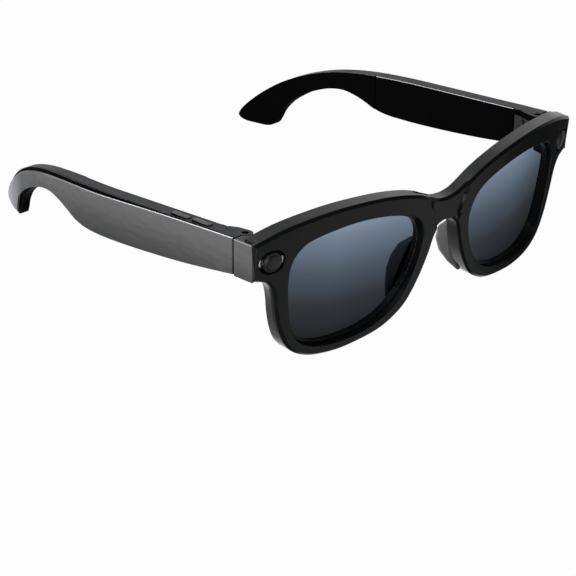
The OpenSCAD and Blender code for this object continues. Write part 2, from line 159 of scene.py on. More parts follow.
def eye_point(side, across, depth, up):
    """A point by its distances from an eye's middle on the front's face."""
    x = EYE_X + across * math.cos(EYE_TURN) - depth * math.sin(EYE_TURN)
    y = wrap_y(EYE_X) + across * math.sin(EYE_TURN) + depth * math.cos(EYE_TURN)
    return front_point(side * x, y, EYE_Z + up)


def bend(y):
    """How far a temple has bent inwards at a distance back."""
    return BEND_DEPTH * (max(0, y - BEND_START) / BEND_LENGTH) ** 2


# ---- Outlines ------------------------------------------------------------------------------

def between(a, b, c, d, t):
    """A point on the smooth curve from b to c, with neighbours a and d."""
    return 0.5 * (2 * b + (c - a) * t + (2 * a - 5 * b + 4 * c - d) * t * t
                  + (3 * b - a - 3 * c + d) * t * t * t)


def run(points, steps=8):
    """A smooth open curve through all the points."""
    p = [Vector(q) for q in points]
    last = len(p) - 1
    curve = [between(p[max(i - 1, 0)], p[i], p[i + 1], p[min(i + 2, last)], k / steps)
             for i in range(last) for k in range(steps)]
    return curve + [p[last]]


def loop(points, steps=8):
    """A smooth closed curve through all the points."""
    p = [Vector(q) for q in points]
    n = len(p)
    return [between(p[i - 1], p[i], p[(i + 1) % n], p[(i + 2) % n], k / steps)
            for i in range(n) for k in range(steps)]


def area(outline):
    """Signed area: positive when the outline runs anticlockwise."""
    return 0.5 * sum(a.x * b.y - b.x * a.y for a, b in zip(outline, outline[1:] + outline[:1]))


def grow(outline, distance):
    """The outline moved outwards by a distance, with mitred corners."""
    sign = 1 if area(outline) > 0 else -1
    n = len(outline)
    moved = []
    for i, p in enumerate(outline):
        before = (p - outline[i - 1]).normalized()
        after = (outline[(i + 1) % n] - p).normalized()
        n1, n2 = Vector((before.y, -before.x)) * sign, Vector((after.y, -after.x)) * sign
        moved.append(p + distance * (n1 + n2) / max(0.35, 1 + n1.dot(n2)))
    return moved


def mirrored(outline):
    """The outline on the other side of the middle, run the same way round."""
    return [Vector((-p.x, p.y)) for p in reversed(outline)]


def pill(length, width, centre, steps=12):
    """A pill outline, its long side along the first direction."""
    r = width / 2
    points = []
    for s in (1, -1):
        for k in range(steps + 1):
            a = math.pi * (k / steps - 0.5)
            end = Vector((length / 2 - r + r * math.cos(a), r * math.sin(a)))
            points.append(Vector(centre) + s * end)
    return points


def inside(p, outline):
    """Does the closed outline go round the point?"""
    hit = False
    for a, b in zip(outline, outline[1:] + outline[:1]):
        if (a.y > p.y) != (b.y > p.y) and p.x < (b.x - a.x) * (p.y - a.y) / (b.y - a.y) + a.x:
            hit = not hit
    return hit


def within(p, loops):
    """Is the point inside the first loop and outside all the others?"""
    return inside(p, loops[0]) and not any(inside(p, hole) for hole in loops[1:])


def grid(loops, spacing, lines):
    """Staggered points that fill the first loop, clear of all the loops and lines."""
    outer = loops[0]
    lo = Vector((min(p.x for p in outer), min(p.y for p in outer)))
    hi = Vector((max(p.x for p in outer), max(p.y for p in outer)))
    points = [Vector((lo.x + spacing * (i + 0.5 * (j % 2)), lo.y + spacing * j))
              for i in range(1, int((hi.x - lo.x) / spacing) + 1)
              for j in range(1, int((hi.y - lo.y) / spacing) + 1)]
    on_loops = [q for outline in loops for q in outline]
    on_lines = [q for line in lines for q in line]
    return [p for p in points if within(p, loops)
            and min((p - q).length_squared for q in on_loops) > (0.45 * spacing) ** 2
            and all((p - q).length_squared > (0.3 * spacing) ** 2 for q in on_lines)]


def polyline_at(points, key):
    """The second value of a list of pairs, sorted from high to low, at a first value."""
    if key >= points[0][0]:
        return points[0][1]
    for (k0, v0), (k1, v1) in zip(points, points[1:]):
        if key >= k1:
            return v0 + (v1 - v0) * (k0 - key) / (k0 - k1)
    return points[-1][1]


brow_half = run(BROW_LINE)
rim_half = run(RIM_LINE)
front_half = brow_half + rim_half
front_outline = front_half + mirrored(front_half)[1:-1]
lens_outline = loop(LENS_LINE)
panel_top = run(PANEL_TOP)
underside = run(UNDERSIDE)
panel_outline = run([(PANEL_FRONT, -0.02)] + PANEL_TOP[1:] + PANEL_TIP + UNDERSIDE[:-1]
                    + [(PANEL_FRONT, -11.1)])


# ---- Mesh building -------------------------------------------------------------------------

class Shell:
    """A closed mesh made of rings, bridges between rings and filled faces."""

    def __init__(self, place):
        """place makes a point in the frame from a point of an outline and a depth."""
        self.bm = bmesh.new()
        self.place = place

    def ring(self, outline, depth):
        """The outline's points, each with its vertex at a depth."""
        return [(p, self.bm.verts.new(self.place(p.x, p.y, depth))) for p in outline]

    def bridge(self, a, b):
        """Faces between two rings of the same length."""
        n = len(a)
        for i in range(n):
            j = (i + 1) % n
            self.bm.faces.new([a[i][1], a[j][1], b[j][1], b[i][1]])

    def rings(self, outline, profile):
        """One ring for each pair of outward offset and depth, bridged in order."""
        made = [self.ring(grow(outline, g) if g else outline, d) for g, d in profile]
        for a, b in zip(made, made[1:]):
            self.bridge(a, b)
        return made[0], made[-1]

    def fill(self, rings, depth, spacing, lines=()):
        """A face between an outer ring and the rings of its holes, with edges along the lines."""
        points, verts, edges = [], [], []
        for ring in rings:
            start, n = len(points), len(ring)
            points += [p for p, _ in ring]
            verts += [v for _, v in ring]
            edges += [(start + i, start + (i + 1) % n) for i in range(n)]
        loops = [[p for p, _ in ring] for ring in rings]
        points += grid(loops, spacing, lines)
        for line in lines:
            start = len(points)
            points += line
            edges += [(start + i, start + i + 1) for i in range(len(line) - 1)]
        got, _, faces, origin, _, _ = delaunay_2d_cdt(points, edges, [], 0, 1e-7)
        made = []
        for p, source in zip(got, origin):
            own = next((s for s in source if s < len(verts)), None)
            made.append(verts[own] if own is not None
                        else self.bm.verts.new(self.place(p.x, p.y, depth)))
        for f in faces:
            if within((got[f[0]] + got[f[1]] + got[f[2]]) / 3, loops):
                self.face([made[i] for i in f])

    def face(self, verts):
        """A face, unless it has no area or is there already."""
        if len(set(verts)) == len(verts):
            try:
                self.bm.faces.new(verts)
            except ValueError:
                pass

    def done(self, name):
        """The mesh as an object, with loose points dropped and hairline cracks closed."""
        bm = self.bm
        bmesh.ops.delete(bm, geom=[v for v in bm.verts if not v.link_faces], context="VERTS")
        bmesh.ops.remove_doubles(bm, verts=bm.verts, dist=0.005 * MM)
        bmesh.ops.holes_fill(bm, edges=[e for e in bm.edges if e.is_boundary], sides=4)
        bmesh.ops.recalc_face_normals(bm, faces=bm.faces)
        return new_object(name, bm)


def new_object(name, bm):
    """An object with the mesh, which is freed."""
    mesh = bpy.data.meshes.new(name)
    bm.to_mesh(mesh)
    bm.free()
    obj = bpy.data.objects.new(name, mesh)
    bpy.context.scene.collection.objects.link(obj)
    return obj


def finish_mesh(obj, angle):
    """Smooth shading, with hard edges where two faces meet at more than the angle."""
    mesh = obj.data
    mesh.polygons.foreach_set("use_smooth", [True] * len(mesh.polygons))
    mesh.set_sharp_from_angle(angle=math.radians(angle))
    modifier = obj.modifiers.new("normals", "WEIGHTED_NORMAL")
    modifier.keep_sharp = True
    modifier.weight = 80
    return obj


def refine(node, width):
    """A copy of a CAD node's solid, with its sharp edges rounded by a width in millimetres."""
    bm = bmesh.new()
    bm.from_mesh(frame["nodes"][node].data)
    bmesh.ops.remove_doubles(bm, verts=bm.verts, dist=1e-7)
    bmesh.ops.dissolve_limit(bm, angle_limit=math.radians(0.2), verts=bm.verts, edges=bm.edges)
    if width:
        sharp = [e for e in bm.edges if e.is_manifold and e.calc_face_angle(0) > math.radians(35)]
        bmesh.ops.bevel(bm, geom=sharp, offset=width * MM, segments=2, profile=0.5,
                        affect="EDGES", clamp_overlap=True, offset_type="OFFSET")
    bmesh.ops.triangulate(bm, faces=[f for f in bm.faces if len(f.verts) > 4])
    return new_object(node + "_shown", bm)


body_of = {n: b for b, nodes in frame["record"]["behaviour"]["bodies"].items() for n in nodes}


def stands_for(obj, node, material, zones=()):
    """obj takes the node's place, body and slot; zones are (material, test of a face) pairs."""
    obj.data.materials.clear()
    for m in [material] + [zone for zone, _ in zones]:
        obj.data.materials.append(m)
    for polygon in obj.data.polygons:
        for i, (_, test) in enumerate(zones):
            if test(polygon):
                polygon.material_index = i + 1
    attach(obj, body_of[node])
    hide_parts(node)
    return obj


# ---- Materials -----------------------------------------------------------------------------

class Look:
    """A node material round one Principled shader, with textures in the object's own metres."""

    def __init__(self, name, roughness=0.5, metallic=0.0, specular=0.5, coat=0.0):
        self.material = bpy.data.materials.new(name)
        self.material.use_nodes = True
        self.tree = self.material.node_tree
        self.shader = self.tree.nodes["Principled BSDF"]
        self.set("Metallic", metallic)
        self.set("Roughness", roughness)
        self.set("Specular IOR Level", specular)
        self.set("Coat Weight", coat)
        self.set("Coat Roughness", 0.05)
        self.coordinates = self.tree.nodes.new("ShaderNodeTexCoord").outputs["Object"]

    def set(self, socket, value):
        self.shader.inputs[socket].default_value = value

    def link(self, a, b):
        self.tree.links.new(a, b)

    def take(self, value, socket):
        """Feeds an input from another node, or with a number or a colour."""
        if isinstance(value, bpy.types.NodeSocket):
            self.link(value, socket)
        else:
            socket.default_value = (*value, 1) if isinstance(value, tuple) else value

    def axes(self):
        """The object coordinates' X, Y and Z."""
        node = self.tree.nodes.new("ShaderNodeSeparateXYZ")
        self.link(self.coordinates, node.inputs["Vector"])
        return node.outputs["X"], node.outputs["Y"], node.outputs["Z"]

    def noise(self, scale, detail=3.0, roughness=0.55, stretch=(1, 1, 1)):
        """Noise with about this many bumps to the metre."""
        mapping = self.tree.nodes.new("ShaderNodeMapping")
        mapping.inputs["Scale"].default_value = stretch
        self.link(self.coordinates, mapping.inputs["Vector"])
        node = self.tree.nodes.new("ShaderNodeTexNoise")
        node.inputs["Scale"].default_value = scale
        node.inputs["Detail"].default_value = detail
        node.inputs["Roughness"].default_value = roughness
        self.link(mapping.outputs["Vector"], node.inputs["Vector"])
        return node.outputs["Fac"]

    def ramp(self, fac, stops):
        """A colour from a list of positions and colours."""
        node = self.tree.nodes.new("ShaderNodeValToRGB")
        elements = node.color_ramp.elements
        while len(elements) < len(stops):
            elements.new(0.5)
        for element, (position, colour) in zip(elements, stops):
            element.position = position
            element.color = (*colour, 1)
        self.link(fac, node.inputs["Fac"])
        return node.outputs["Color"]

    def range(self, fac, low, high, start=0.3, end=0.7):
        """Goes from low to high as fac goes from start to end, and stays there."""
        node = self.tree.nodes.new("ShaderNodeMapRange")
        node.inputs["From Min"].default_value = start
        node.inputs["From Max"].default_value = end
        node.inputs["To Min"].default_value = low
        node.inputs["To Max"].default_value = high
        self.link(fac, node.inputs["Value"])
        return node.outputs["Result"]

    def math(self, operation, *values):
        """A math node; a value is a socket or a number."""
        node = self.tree.nodes.new("ShaderNodeMath")
        node.operation = operation
        for value, socket in zip(values, node.inputs):
            self.take(value, socket)
        return node.outputs["Value"]

    def mixed(self, fac, a, b):
        """Colour a where fac is 0 and colour b where it is 1."""
        node = self.tree.nodes.new("ShaderNodeMix")
        node.data_type = "RGBA"
        self.link(fac, node.inputs["Factor"])
        for value, socket in ((a, node.inputs[6]), (b, node.inputs[7])):
            self.take(value, socket)
        return node.outputs[2]

    def colour(self, colour):
        """Gives the surface a colour from another node."""
        self.link(colour, self.shader.inputs["Base Color"])

    def rough(self, fac, low, high):
        """Roughness that goes from low to high."""
        self.link(self.range(fac, low, high), self.shader.inputs["Roughness"])

    def bump(self, fac, height):
        """Bumps of a height in millimetres."""
        node = self.tree.nodes.new("ShaderNodeBump")
        node.inputs["Strength"].default_value = 1
        node.inputs["Distance"].default_value = height * MM
        self.link(fac, node.inputs["Height"])
        self.link(node.outputs["Normal"], self.shader.inputs["Normal"])


def grained(name, dark, light, roughness, spread=0.06, grain=2600, height=0.01, metallic=0.0,
            specular=0.5, coat=0.0, stretch=(1, 1, 1)):
    """Moulded or painted surface: fine grain, with slow changes of colour and gloss."""
    look = Look(name, metallic=metallic, specular=specular, coat=coat)
    look.colour(look.ramp(look.noise(55, 4), [(0.3, dark), (0.7, light)]))
    look.rough(look.noise(160, 5, 0.65), roughness - spread, roughness + spread)
    look.bump(look.noise(grain, 2, 0.5, stretch), height)
    return look.material


gloss_black = grained("gloss_black", (0.006, 0.0066, 0.0072), (0.0085, 0.0092, 0.010), 0.17, 0.03,
                      grain=900, height=0.0012, specular=0.24)
# The tops' satin finish is real; their colour, lighter than the gloss black's, is painted light on
# faces that look upwards.
top_satin_painted_light = grained("top_satin_painted_light", (0.012, 0.013, 0.015), (0.017, 0.018, 0.020), 0.36, 0.03,
                    grain=4200, height=0.005, specular=0.5)
# Painted highlight: a bright metallic grey put on rounded edges and lips, so that they show as bright
# highlight lines.
painted_edge_highlight = grained("painted_edge_highlight", (0.36, 0.36, 0.39), (0.46, 0.46, 0.49), 0.28, 0.04,
                    grain=5200, height=0.002, metallic=0.9)
inner_black = grained("inner_black", (0.001, 0.001, 0.0011), (0.002, 0.002, 0.0022), 0.66, 0.06,
                      grain=3000, height=0.012, specular=0.03)
pad_grey = grained("pad_grey", (0.085, 0.087, 0.090), (0.108, 0.110, 0.113), 0.36, 0.06,
                   grain=2200, height=0.004, coat=0.15)
steel = grained("hinge_steel", (0.06, 0.061, 0.063), (0.10, 0.101, 0.104), 0.34, 0.08,
                grain=3800, height=0.004, metallic=1.0, stretch=(1, 1, 0.12))
barrel_black = grained("barrel_black", (0.05, 0.052, 0.056), (0.09, 0.092, 0.10), 0.3, 0.06,
                       grain=2600, height=0.004, metallic=0.6)
plastic = grained("dark_plastic", (0.008, 0.008, 0.009), (0.014, 0.014, 0.015), 0.5, 0.06,
                  grain=2600, height=0.008)
button_grey = grained("button_plastic", (0.05, 0.051, 0.053), (0.07, 0.071, 0.074), 0.34, 0.05,
                      grain=3600, height=0.004)
gold = grained("contact_gold", (0.72, 0.50, 0.20), (0.86, 0.64, 0.30), 0.25, 0.05, grain=3000,
               height=0.002, metallic=1.0)
foil = grained("battery_foil", (0.42, 0.44, 0.46), (0.55, 0.57, 0.60), 0.35, 0.1, grain=900,
               height=0.02, metallic=0.9)
flex = grained("flex_cable", (0.30, 0.12, 0.03), (0.42, 0.19, 0.05), 0.35, 0.06, grain=1500,
               height=0.006)
board = grained("circuit_board", (0.012, 0.06, 0.03), (0.02, 0.09, 0.045), 0.4, 0.08, grain=1800,
                height=0.015)
mesh_black = grained("speaker_mesh", (0.03, 0.03, 0.032), (0.08, 0.08, 0.085), 0.45, 0.08,
                     grain=2500, height=0.03, metallic=0.8)


def lens_material():
    """Tinted see-through lens, lighter at its top, with painted shade that darkens its outer end."""
    low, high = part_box("right_lens")
    look = Look("tinted_lens", roughness=0.02, specular=0.35)
    x, _, z = look.axes()
    height = look.range(z, 0, 1, low.z, high.z)
    # Painted shade: the tint darkens by up to 0.13 over the outer 20 mm of each lens.
    outer = look.range(look.math("ABSOLUTE", x), 0, 0.13, -low.x - 20 * MM, -low.x)
    look.colour(look.ramp(look.math("SUBTRACT", height, outer), [
        (0.0, (0.016, 0.017, 0.019)), (0.28, (0.031, 0.037, 0.045)), (0.55, (0.073, 0.097, 0.126)),
        (0.8, (0.15, 0.197, 0.265)), (1.0, (0.27, 0.32, 0.38))]))
    look.set("Transmission Weight", 1.0)
    look.set("IOR", 1.08)
    look.rough(look.noise(60, 4), 0.015, 0.03)
    return look.material


def temple_part(look, direction):
    """Distance along one of the temple's directions from its front top corner, in metres."""
    away = look.tree.nodes.new("ShaderNodeVectorMath")
    away.operation = "SUBTRACT"
    away.inputs[1].default_value = CORNER
    look.link(look.coordinates, away.inputs[0])
    along = look.tree.nodes.new("ShaderNodeVectorMath")
    along.operation = "DOT_PRODUCT"
    along.inputs[1].default_value = direction
    look.link(away.outputs["Vector"], along.inputs[0])
    return along.outputs["Value"]


def panel_material():
    """Satin grey, with painted shade that darkens it towards its lower edge, and lighter on the hook
    at its end.
    """
    look = Look("satin_grey", metallic=0.3, specular=0.4)
    up, back = temple_part(look, TEMPLE_UP), temple_part(look, TEMPLE_BACK)
    # Painted shade: the colour darkens from the panel's top down to its lower edge.
    light = look.range(up, 0, 1, -16 * MM, -3 * MM)
    tip = look.range(back, 0, 1, 113 * MM, 129 * MM)
    grain = look.range(look.noise(900, 3, 0.6, (1, 0.2, 1)), -0.12, 0.12)
    body = look.ramp(look.math("ADD", light, grain), [
        (0.0, (0.060, 0.066, 0.074)), (0.35, (0.098, 0.098, 0.100)), (0.75, (0.165, 0.165, 0.166)),
        (1.0, (0.195, 0.195, 0.197))])
    look.colour(look.mixed(tip, body, (0.42, 0.42, 0.46)))
    look.rough(look.noise(160, 5, 0.65), 0.36, 0.44)
    look.bump(look.noise(5200, 2, 0.5, (1, 0.16, 1)), 0.004)
    return look.material


def case_material():
    """Dark satin top of a temple, with a black strip along its outer side."""
    look = Look("case_grey", specular=0.12)
    x, _, _ = look.axes()
    back = temple_part(look, TEMPLE_BACK)
    past = look.range(back, 0, 1, BEND_START * MM, (BEND_START + BEND_LENGTH) * MM)
    bent = look.math("MULTIPLY", look.math("MULTIPLY", past, past), BEND_DEPTH * MM)
    side = look.math("SUBTRACT", HALF_W * MM, bent)
    depth = look.math("SUBTRACT", side, look.math("ABSOLUTE", x))
    strip = look.range(back, 1.2 * MM, 1.8 * MM, 30 * MM, 66 * MM)
    inner = look.range(look.math("SUBTRACT", depth, strip), 0, 1, -0.1 * MM, 0.1 * MM)
    grey = look.ramp(look.noise(55, 4), [(0.3, (0.036, 0.039, 0.043)), (0.7, (0.045, 0.048, 0.053))])
    look.colour(look.mixed(inner, (0.0015, 0.0015, 0.0017), grey))
    look.rough(look.noise(160, 5, 0.65), 0.42, 0.52)
    look.bump(look.noise(4200, 2, 0.5), 0.006)
    return look.material


def bezel_material():
    """Bright metal at both ends of the recess, black over and under the dome."""
    look = Look("bright_metal", metallic=1.0)
    _, _, z = look.axes()
    off = look.math("ABSOLUTE", look.math("SUBTRACT", z, front_point(0, 0, EYE_Z).z))
    dark = look.range(off, 0, 1, 0.85 * MM, 1.25 * MM)
    bright = look.ramp(look.noise(900, 4), [(0.3, (0.55, 0.56, 0.58)), (0.7, (0.82, 0.83, 0.85))])
    look.colour(look.mixed(dark, bright, (0.004, 0.004, 0.0045)))
    look.rough(look.noise(700, 3), 0.2, 0.32)
    look.bump(look.noise(3200, 2), 0.002)
    return look.material


def glass_material(name, tint, rough, clear):
    """Tinted glass; clear is how much of it is see-through."""
    look = Look(name, roughness=rough, specular=0.5, coat=0.3)
    look.colour(look.ramp(look.noise(300, 3), [(0.3, [0.9 * c for c in tint]), (0.7, tint)]))
    look.set("Transmission Weight", clear)
    look.set("IOR", 1.3)
    look.rough(look.noise(500, 3), rough, rough * 2)
    return look.material


tinted_lens = lens_material()
dark_glass = glass_material("dark_glass", (0.07, 0.075, 0.085), 0.03, 0.85)
light_glass = glass_material("light_glass", (0.05, 0.052, 0.056), 0.25, 0.3)
case_grey = case_material()
satin_grey = panel_material()
silver = bezel_material()


def faces_up(polygon):
    """Does a face look upwards?"""
    return polygon.normal.z > 0.62


# Faces found here take a painted highlight along a top edge.
def faces_aside_and_up(polygon):
    """Is a face on the rounded edge between a top and a side?"""
    return 0.25 < polygon.normal.z <= 0.9 and abs(polygon.normal.x) > 0.3


# ---- Front ---------------------------------------------------------------------------------

def sunk(x, z):
    """How much of the bridge's step the front's face is sunk by at a point: 0 to 1."""
    outer, inner = polyline_at(WEDGE_OUTER, z), polyline_at(WEDGE_INNER, z)
    return min(1, max(0, (outer - abs(x)) / (outer - inner)))


def on_front(x, z, depth):
    """A point of the cover, at a depth behind its face.

    Only the face is sunk at the bridge, an eye's pocket runs along the eye's axis, and the cover's
    ends stop at the end panels.
    """
    if depth < COVER_DEPTH - 0.3:
        depth += BRIDGE_STEP * sunk(x, z)
    if abs(abs(x) - EYE_X) < EYE_POCKET[0] and abs(z - EYE_Z) < EYE_POCKET[1]:
        x -= math.copysign(depth * EYE_X / WRAP_R, x)
    point = front_point(x, wrap_y(x, depth), z)
    panel_side = HALF_W - PANEL_T
    if abs(x) > panel_side and (point - CORNER).dot(TEMPLE_BACK) > END_PANEL_FRONT * MM:
        point.x = math.copysign(panel_side * MM, x)
    return point


def wrap_inset(p):
    """Depth behind the front's curved face of a point given from the corner, in millimetres."""
    return WRAP_R - math.hypot(p.x, p.y + WRAP_DEPTH - WRAP_R)


def wrap_depth(polygon):
    """Depth of a face's middle behind the front's curved face, in millimetres."""
    return wrap_inset((polygon.center - CORNER) / MM)


def rounded_in(radius, steps=4):
    """Offset and depth pairs round the edge where a face turns into an opening's wall."""
    turns = [math.radians(90 * (1 - k / steps)) for k in range(steps + 1)]
    return [(radius - radius * math.cos(a), radius - radius * math.sin(a)) for a in turns]


def wedge_lines(outline):
    """The edges of the bridge's step, where they cross the outline's inside."""
    heights = [1.0 - 0.6 * k for k in range(19)]
    lines = []
    for side in (LEFT, RIGHT):
        for edge in (WEDGE_OUTER, WEDGE_INNER):
            line = [Vector((side * polyline_at(edge, z), z)) for z in heights]
            lines.append([p for p in line if inside(p, outline)
                          and min((p - q).length for q in outline) > 0.25])
    return lines


def front_cover():
    """Glossy cover with a chamfered edge, rounded lens openings and two pockets for the eyes."""
    shell = Shell(on_front)
    c, e = CHAMFER, EDGE
    back, face = shell.rings(front_outline, [
        (0, COVER_DEPTH), (0, c + e), (-0.2 * e, c), (-0.75 * e, c - 0.75 * e),
        (-(c - 0.75 * e), 0.75 * e), (-c, 0.2 * e), (-(c + e), 0)])
    faces, backs = [face], [back]
    length, width = EYE_PILL
    for side in (LEFT, RIGHT):
        rim = lens_outline if side == LEFT else mirrored(lens_outline)
        eye = pill(length * math.cos(EYE_TURN), width, (side * EYE_X, EYE_Z))
        for outline, edge in ((rim, rounded_in(0.3)), (eye, [(0.1, 0), (0.03, 0.03), (0, 0.1)])):
            opening, behind = shell.rings(outline, edge + [(0, COVER_DEPTH)])
            faces.append(opening)
            backs.append(behind)
    shell.fill(faces, 0, 1.6, wedge_lines([p for p, _ in face]))
    shell.fill(backs, COVER_DEPTH, 4)
    obj = finish_mesh(shell.done("front_cover_shown"), 30)
    # The cover's upward faces take the satin with painted light.
    on_top = lambda f: faces_up(f) and abs(f.normal.y) < 0.3 and wrap_depth(f) > CHAMFER
    return stands_for(obj, "front_cover", gloss_black, [(top_satin_painted_light, on_top)])


def lens(side):
    """Curved lens with a small chamfer round both its faces."""
    shell = Shell(lambda x, z, d: front_point(side * x, wrap_y(x, d), z))
    top, bottom = shell.rings(grow(lens_outline, 0.4), [
        (-0.1, LENS_INSET + 0.02), (0, LENS_INSET + 0.12), (0, LENS_INSET + LENS_T - 0.1),
        (-0.1, LENS_INSET + LENS_T)])
    shell.fill([top], LENS_INSET + 0.02, 2.5)
    shell.fill([bottom], LENS_INSET + LENS_T, 2.5)
    name = "left_lens" if side == LEFT else "right_lens"
    obj = finish_mesh(shell.done(name + "_shown"), 30)
    return stands_for(obj, name, tinted_lens)


front_cover()
for side in (LEFT, RIGHT):
    lens(side)


# ---- Camera and light ----------------------------------------------------------------------

def turned(name, side, profile, flatten=1):
    """A closed profile of radius and depth pairs, turned about an eye's axis and flattened."""
    bm = bmesh.new()
    steps = 48
    turns = [2 * math.pi * k / steps for k in range(steps)]
    rings = []
    for r, y in profile:
        rings.append([bm.verts.new(eye_point(side, r * math.cos(a), y, flatten * r * math.sin(a)))
                      for a in (turns if r else [0])])
    for a, b in zip(rings, rings[1:] + rings[:1]):
        if len(a) == len(b) == 1:
            continue
        for k in range(steps):
            j = (k + 1) % steps
            corners = [a[k % len(a)], a[j % len(a)], b[j % len(b)], b[k % len(b)]]
            bm.faces.new([v for i, v in enumerate(corners) if v is not corners[i - 1]])
    bmesh.ops.recalc_face_normals(bm, faces=bm.faces)
    return finish_mesh(new_object(name, bm), 40)


def bezel(side, node):
    """An oval ring with a rounded front, on a thin plate."""
    tube = [(3.7 + 0.58 * math.cos(math.radians(t)), 1 - 0.38 * math.sin(math.radians(t)))
            for t in range(0, 181, 20)]
    plate = [(2.65, 1), (2.65, 1.74), (4.28, 1.74)]
    stands_for(turned(node + "_shown", side, tube + plate, 0.82), node, silver)


def dome(side, node, material):
    """Glass cup with a stepped rim and a low bulge, hollow behind."""
    r = DOME_R
    rim = [(2.4, 0.56), (r, 0.56), (r, 0.04), (r - 0.06, -0.08), (r - 0.2, -0.16), (r - 0.5, -0.17),
           (r - 0.6, -0.1), (r - 0.72, -0.1)]
    bulge = [((r - 0.8) * math.cos(math.radians(t)), -0.12 - 0.25 * math.sin(math.radians(t)))
             for t in range(0, 90, 15)]
    hollow = [(0, -0.38), (0, 0.3), (2.2, 0.34), (2.4, 0.42)]
    stands_for(turned(node + "_shown", side, rim + bulge + hollow), node, material)


def barrel():
    """The camera's lens barrel: rings that step down to a small dark lens."""
    profile = [(0, 3.48), (2.33, 3.48), (2.33, 0.86), (2.0, 0.77), (1.8, 0.8), (1.75, 1.2),
               (1.45, 1.25), (1.4, 1.0), (1.2, 0.97), (1.1, 1.3), (0.7, 1.4), (0.62, 1.2),
               (0.3, 1.12), (0, 1.1)]
    stands_for(turned("camera_barrel_shown", RIGHT, profile), "camera_barrel", barrel_black)


bezel(RIGHT, "camera_bezel")
bezel(LEFT, "light_bezel")
dome(RIGHT, "camera_dome", dark_glass)
dome(LEFT, "light_dome", light_glass)
barrel()


# ---- Temples -------------------------------------------------------------------------------

def crown(y, z):
    """How deep the slightly rounded face of the panel lies at a point; the hook is flat."""
    before_hook = min(y, CROWN_END - 4)
    top = polyline_at([(-p.x, p.y) for p in panel_top], -before_hook)
    bottom = polyline_at([(p.x, p.y) for p in underside], before_hook)
    u = max(-1, min(1, (2 * z - top - bottom) / (top - bottom)))
    return CROWN_DEPTH * u * u * min(1, max(0, (CROWN_END - y) / CROWN_FADE))


def on_temple(side):
    """Places a point by its distance back, its height and its depth behind the panel's face."""
    def place(y, z, depth):
        if depth < CROWN_LAYER:
            depth += (CROWN_LAYER - depth) / CROWN_LAYER * crown(y, z)
        return temple_point(side * (HALF_W - bend(y) - depth), y, z)
    return place


def outer_panel(side):
    """Satin panel with a double lip round its edge; the lip takes a painted highlight and the front
    end painted shade.
    """
    shell = Shell(on_temple(side))
    face, back = shell.rings(panel_outline, [
        (-0.42, 0), (-0.30, 0.02), (-0.20, 0.07), (-0.13, 0.16), (-0.12, 0.26), (-0.22, 0.33),
        (-0.22, 0.40), (-0.10, 0.46), (-0.02, 0.54), (0, 0.64), (-0.02, 0.76), (-0.12, 0.86),
        (-0.4, 0.88), (-0.4, PANEL_T - 0.02)])
    shell.fill([face], 0, 3)
    shell.fill([back], PANEL_T - 0.02, 4)
    name = "left_outer_panel" if side == LEFT else "right_outer_panel"
    obj = finish_mesh(shell.done(name + "_shown"), 35)
    # The lip's faces take a painted highlight.
    lip = lambda f: f.normal.z > 0.2 and abs(f.normal.x) > 0.2 and f.area < 1.2 * MM * MM
    # The front end, in the gap before the end panel, is black as painted shade.
    front_end = lambda f: f.normal.y < -0.5
    return stands_for(obj, name, satin_grey, [(painted_edge_highlight, lip), (inner_black, front_end)])


for side in (LEFT, RIGHT):
    outer_panel(side)


# ---- Pieces that keep the CAD's shape, with rounded edges ----------------------------------

def narrowed(obj):
    """Draws the upper outer walls of the rims in towards the back, by a slope that fades out."""
    for v in obj.data.vertices:
        p = (v.co - CORNER) / MM
        depth = wrap_inset(p) - COVER_DEPTH
        fade = min(1, max(0, (END_Z - 0.8 - p.z) / 3), max(0, (p.z + 33) / 12))
        if depth > 0 and fade > 0 and abs(p.x) > 20:
            at = Vector((abs(p.x), p.z))
            if min((at - q).length_squared for q in rim_half) < 0.8:
                inward = (RIM_MIDDLE - at).normalized() * NARROWING * depth * fade
                v.co += MM * Vector((math.copysign(1, p.x) * inward.x, 0, inward.y))


# Faces found here take a painted highlight: a bright line along the openings' front edges.
def on_ledge(polygon):
    """Is a face on the rounded front edge of the rear frame's lens openings?"""
    p = (polygon.center - CORNER) / MM
    return (wrap_depth(polygon) < COVER_DEPTH + 0.35 and -0.97 < polygon.normal.y < -0.25
            and 8 < abs(p.x) < 62 and inside(Vector((abs(p.x), p.z)), lens_outline))


def on_frame_top(polygon):
    """Is a face on the top of the rear frame, and not on the hinge blocks behind it?"""
    return faces_up(polygon) and wrap_depth(polygon) < RIM_DEPTH


def refined(node, material, width, zones=(), angle=38):
    """The CAD's piece with its edges rounded by a width in millimetres."""
    obj = refine(node, width)
    if node == "rear_frame":
        narrowed(obj)
    return stands_for(finish_mesh(obj, angle), node, material, zones)


# Temple tops: dark satin grey on upward faces, and a painted highlight on the rounded edge beside
# them.
TOPS = [(case_grey, faces_up), (painted_edge_highlight, faces_aside_and_up)]

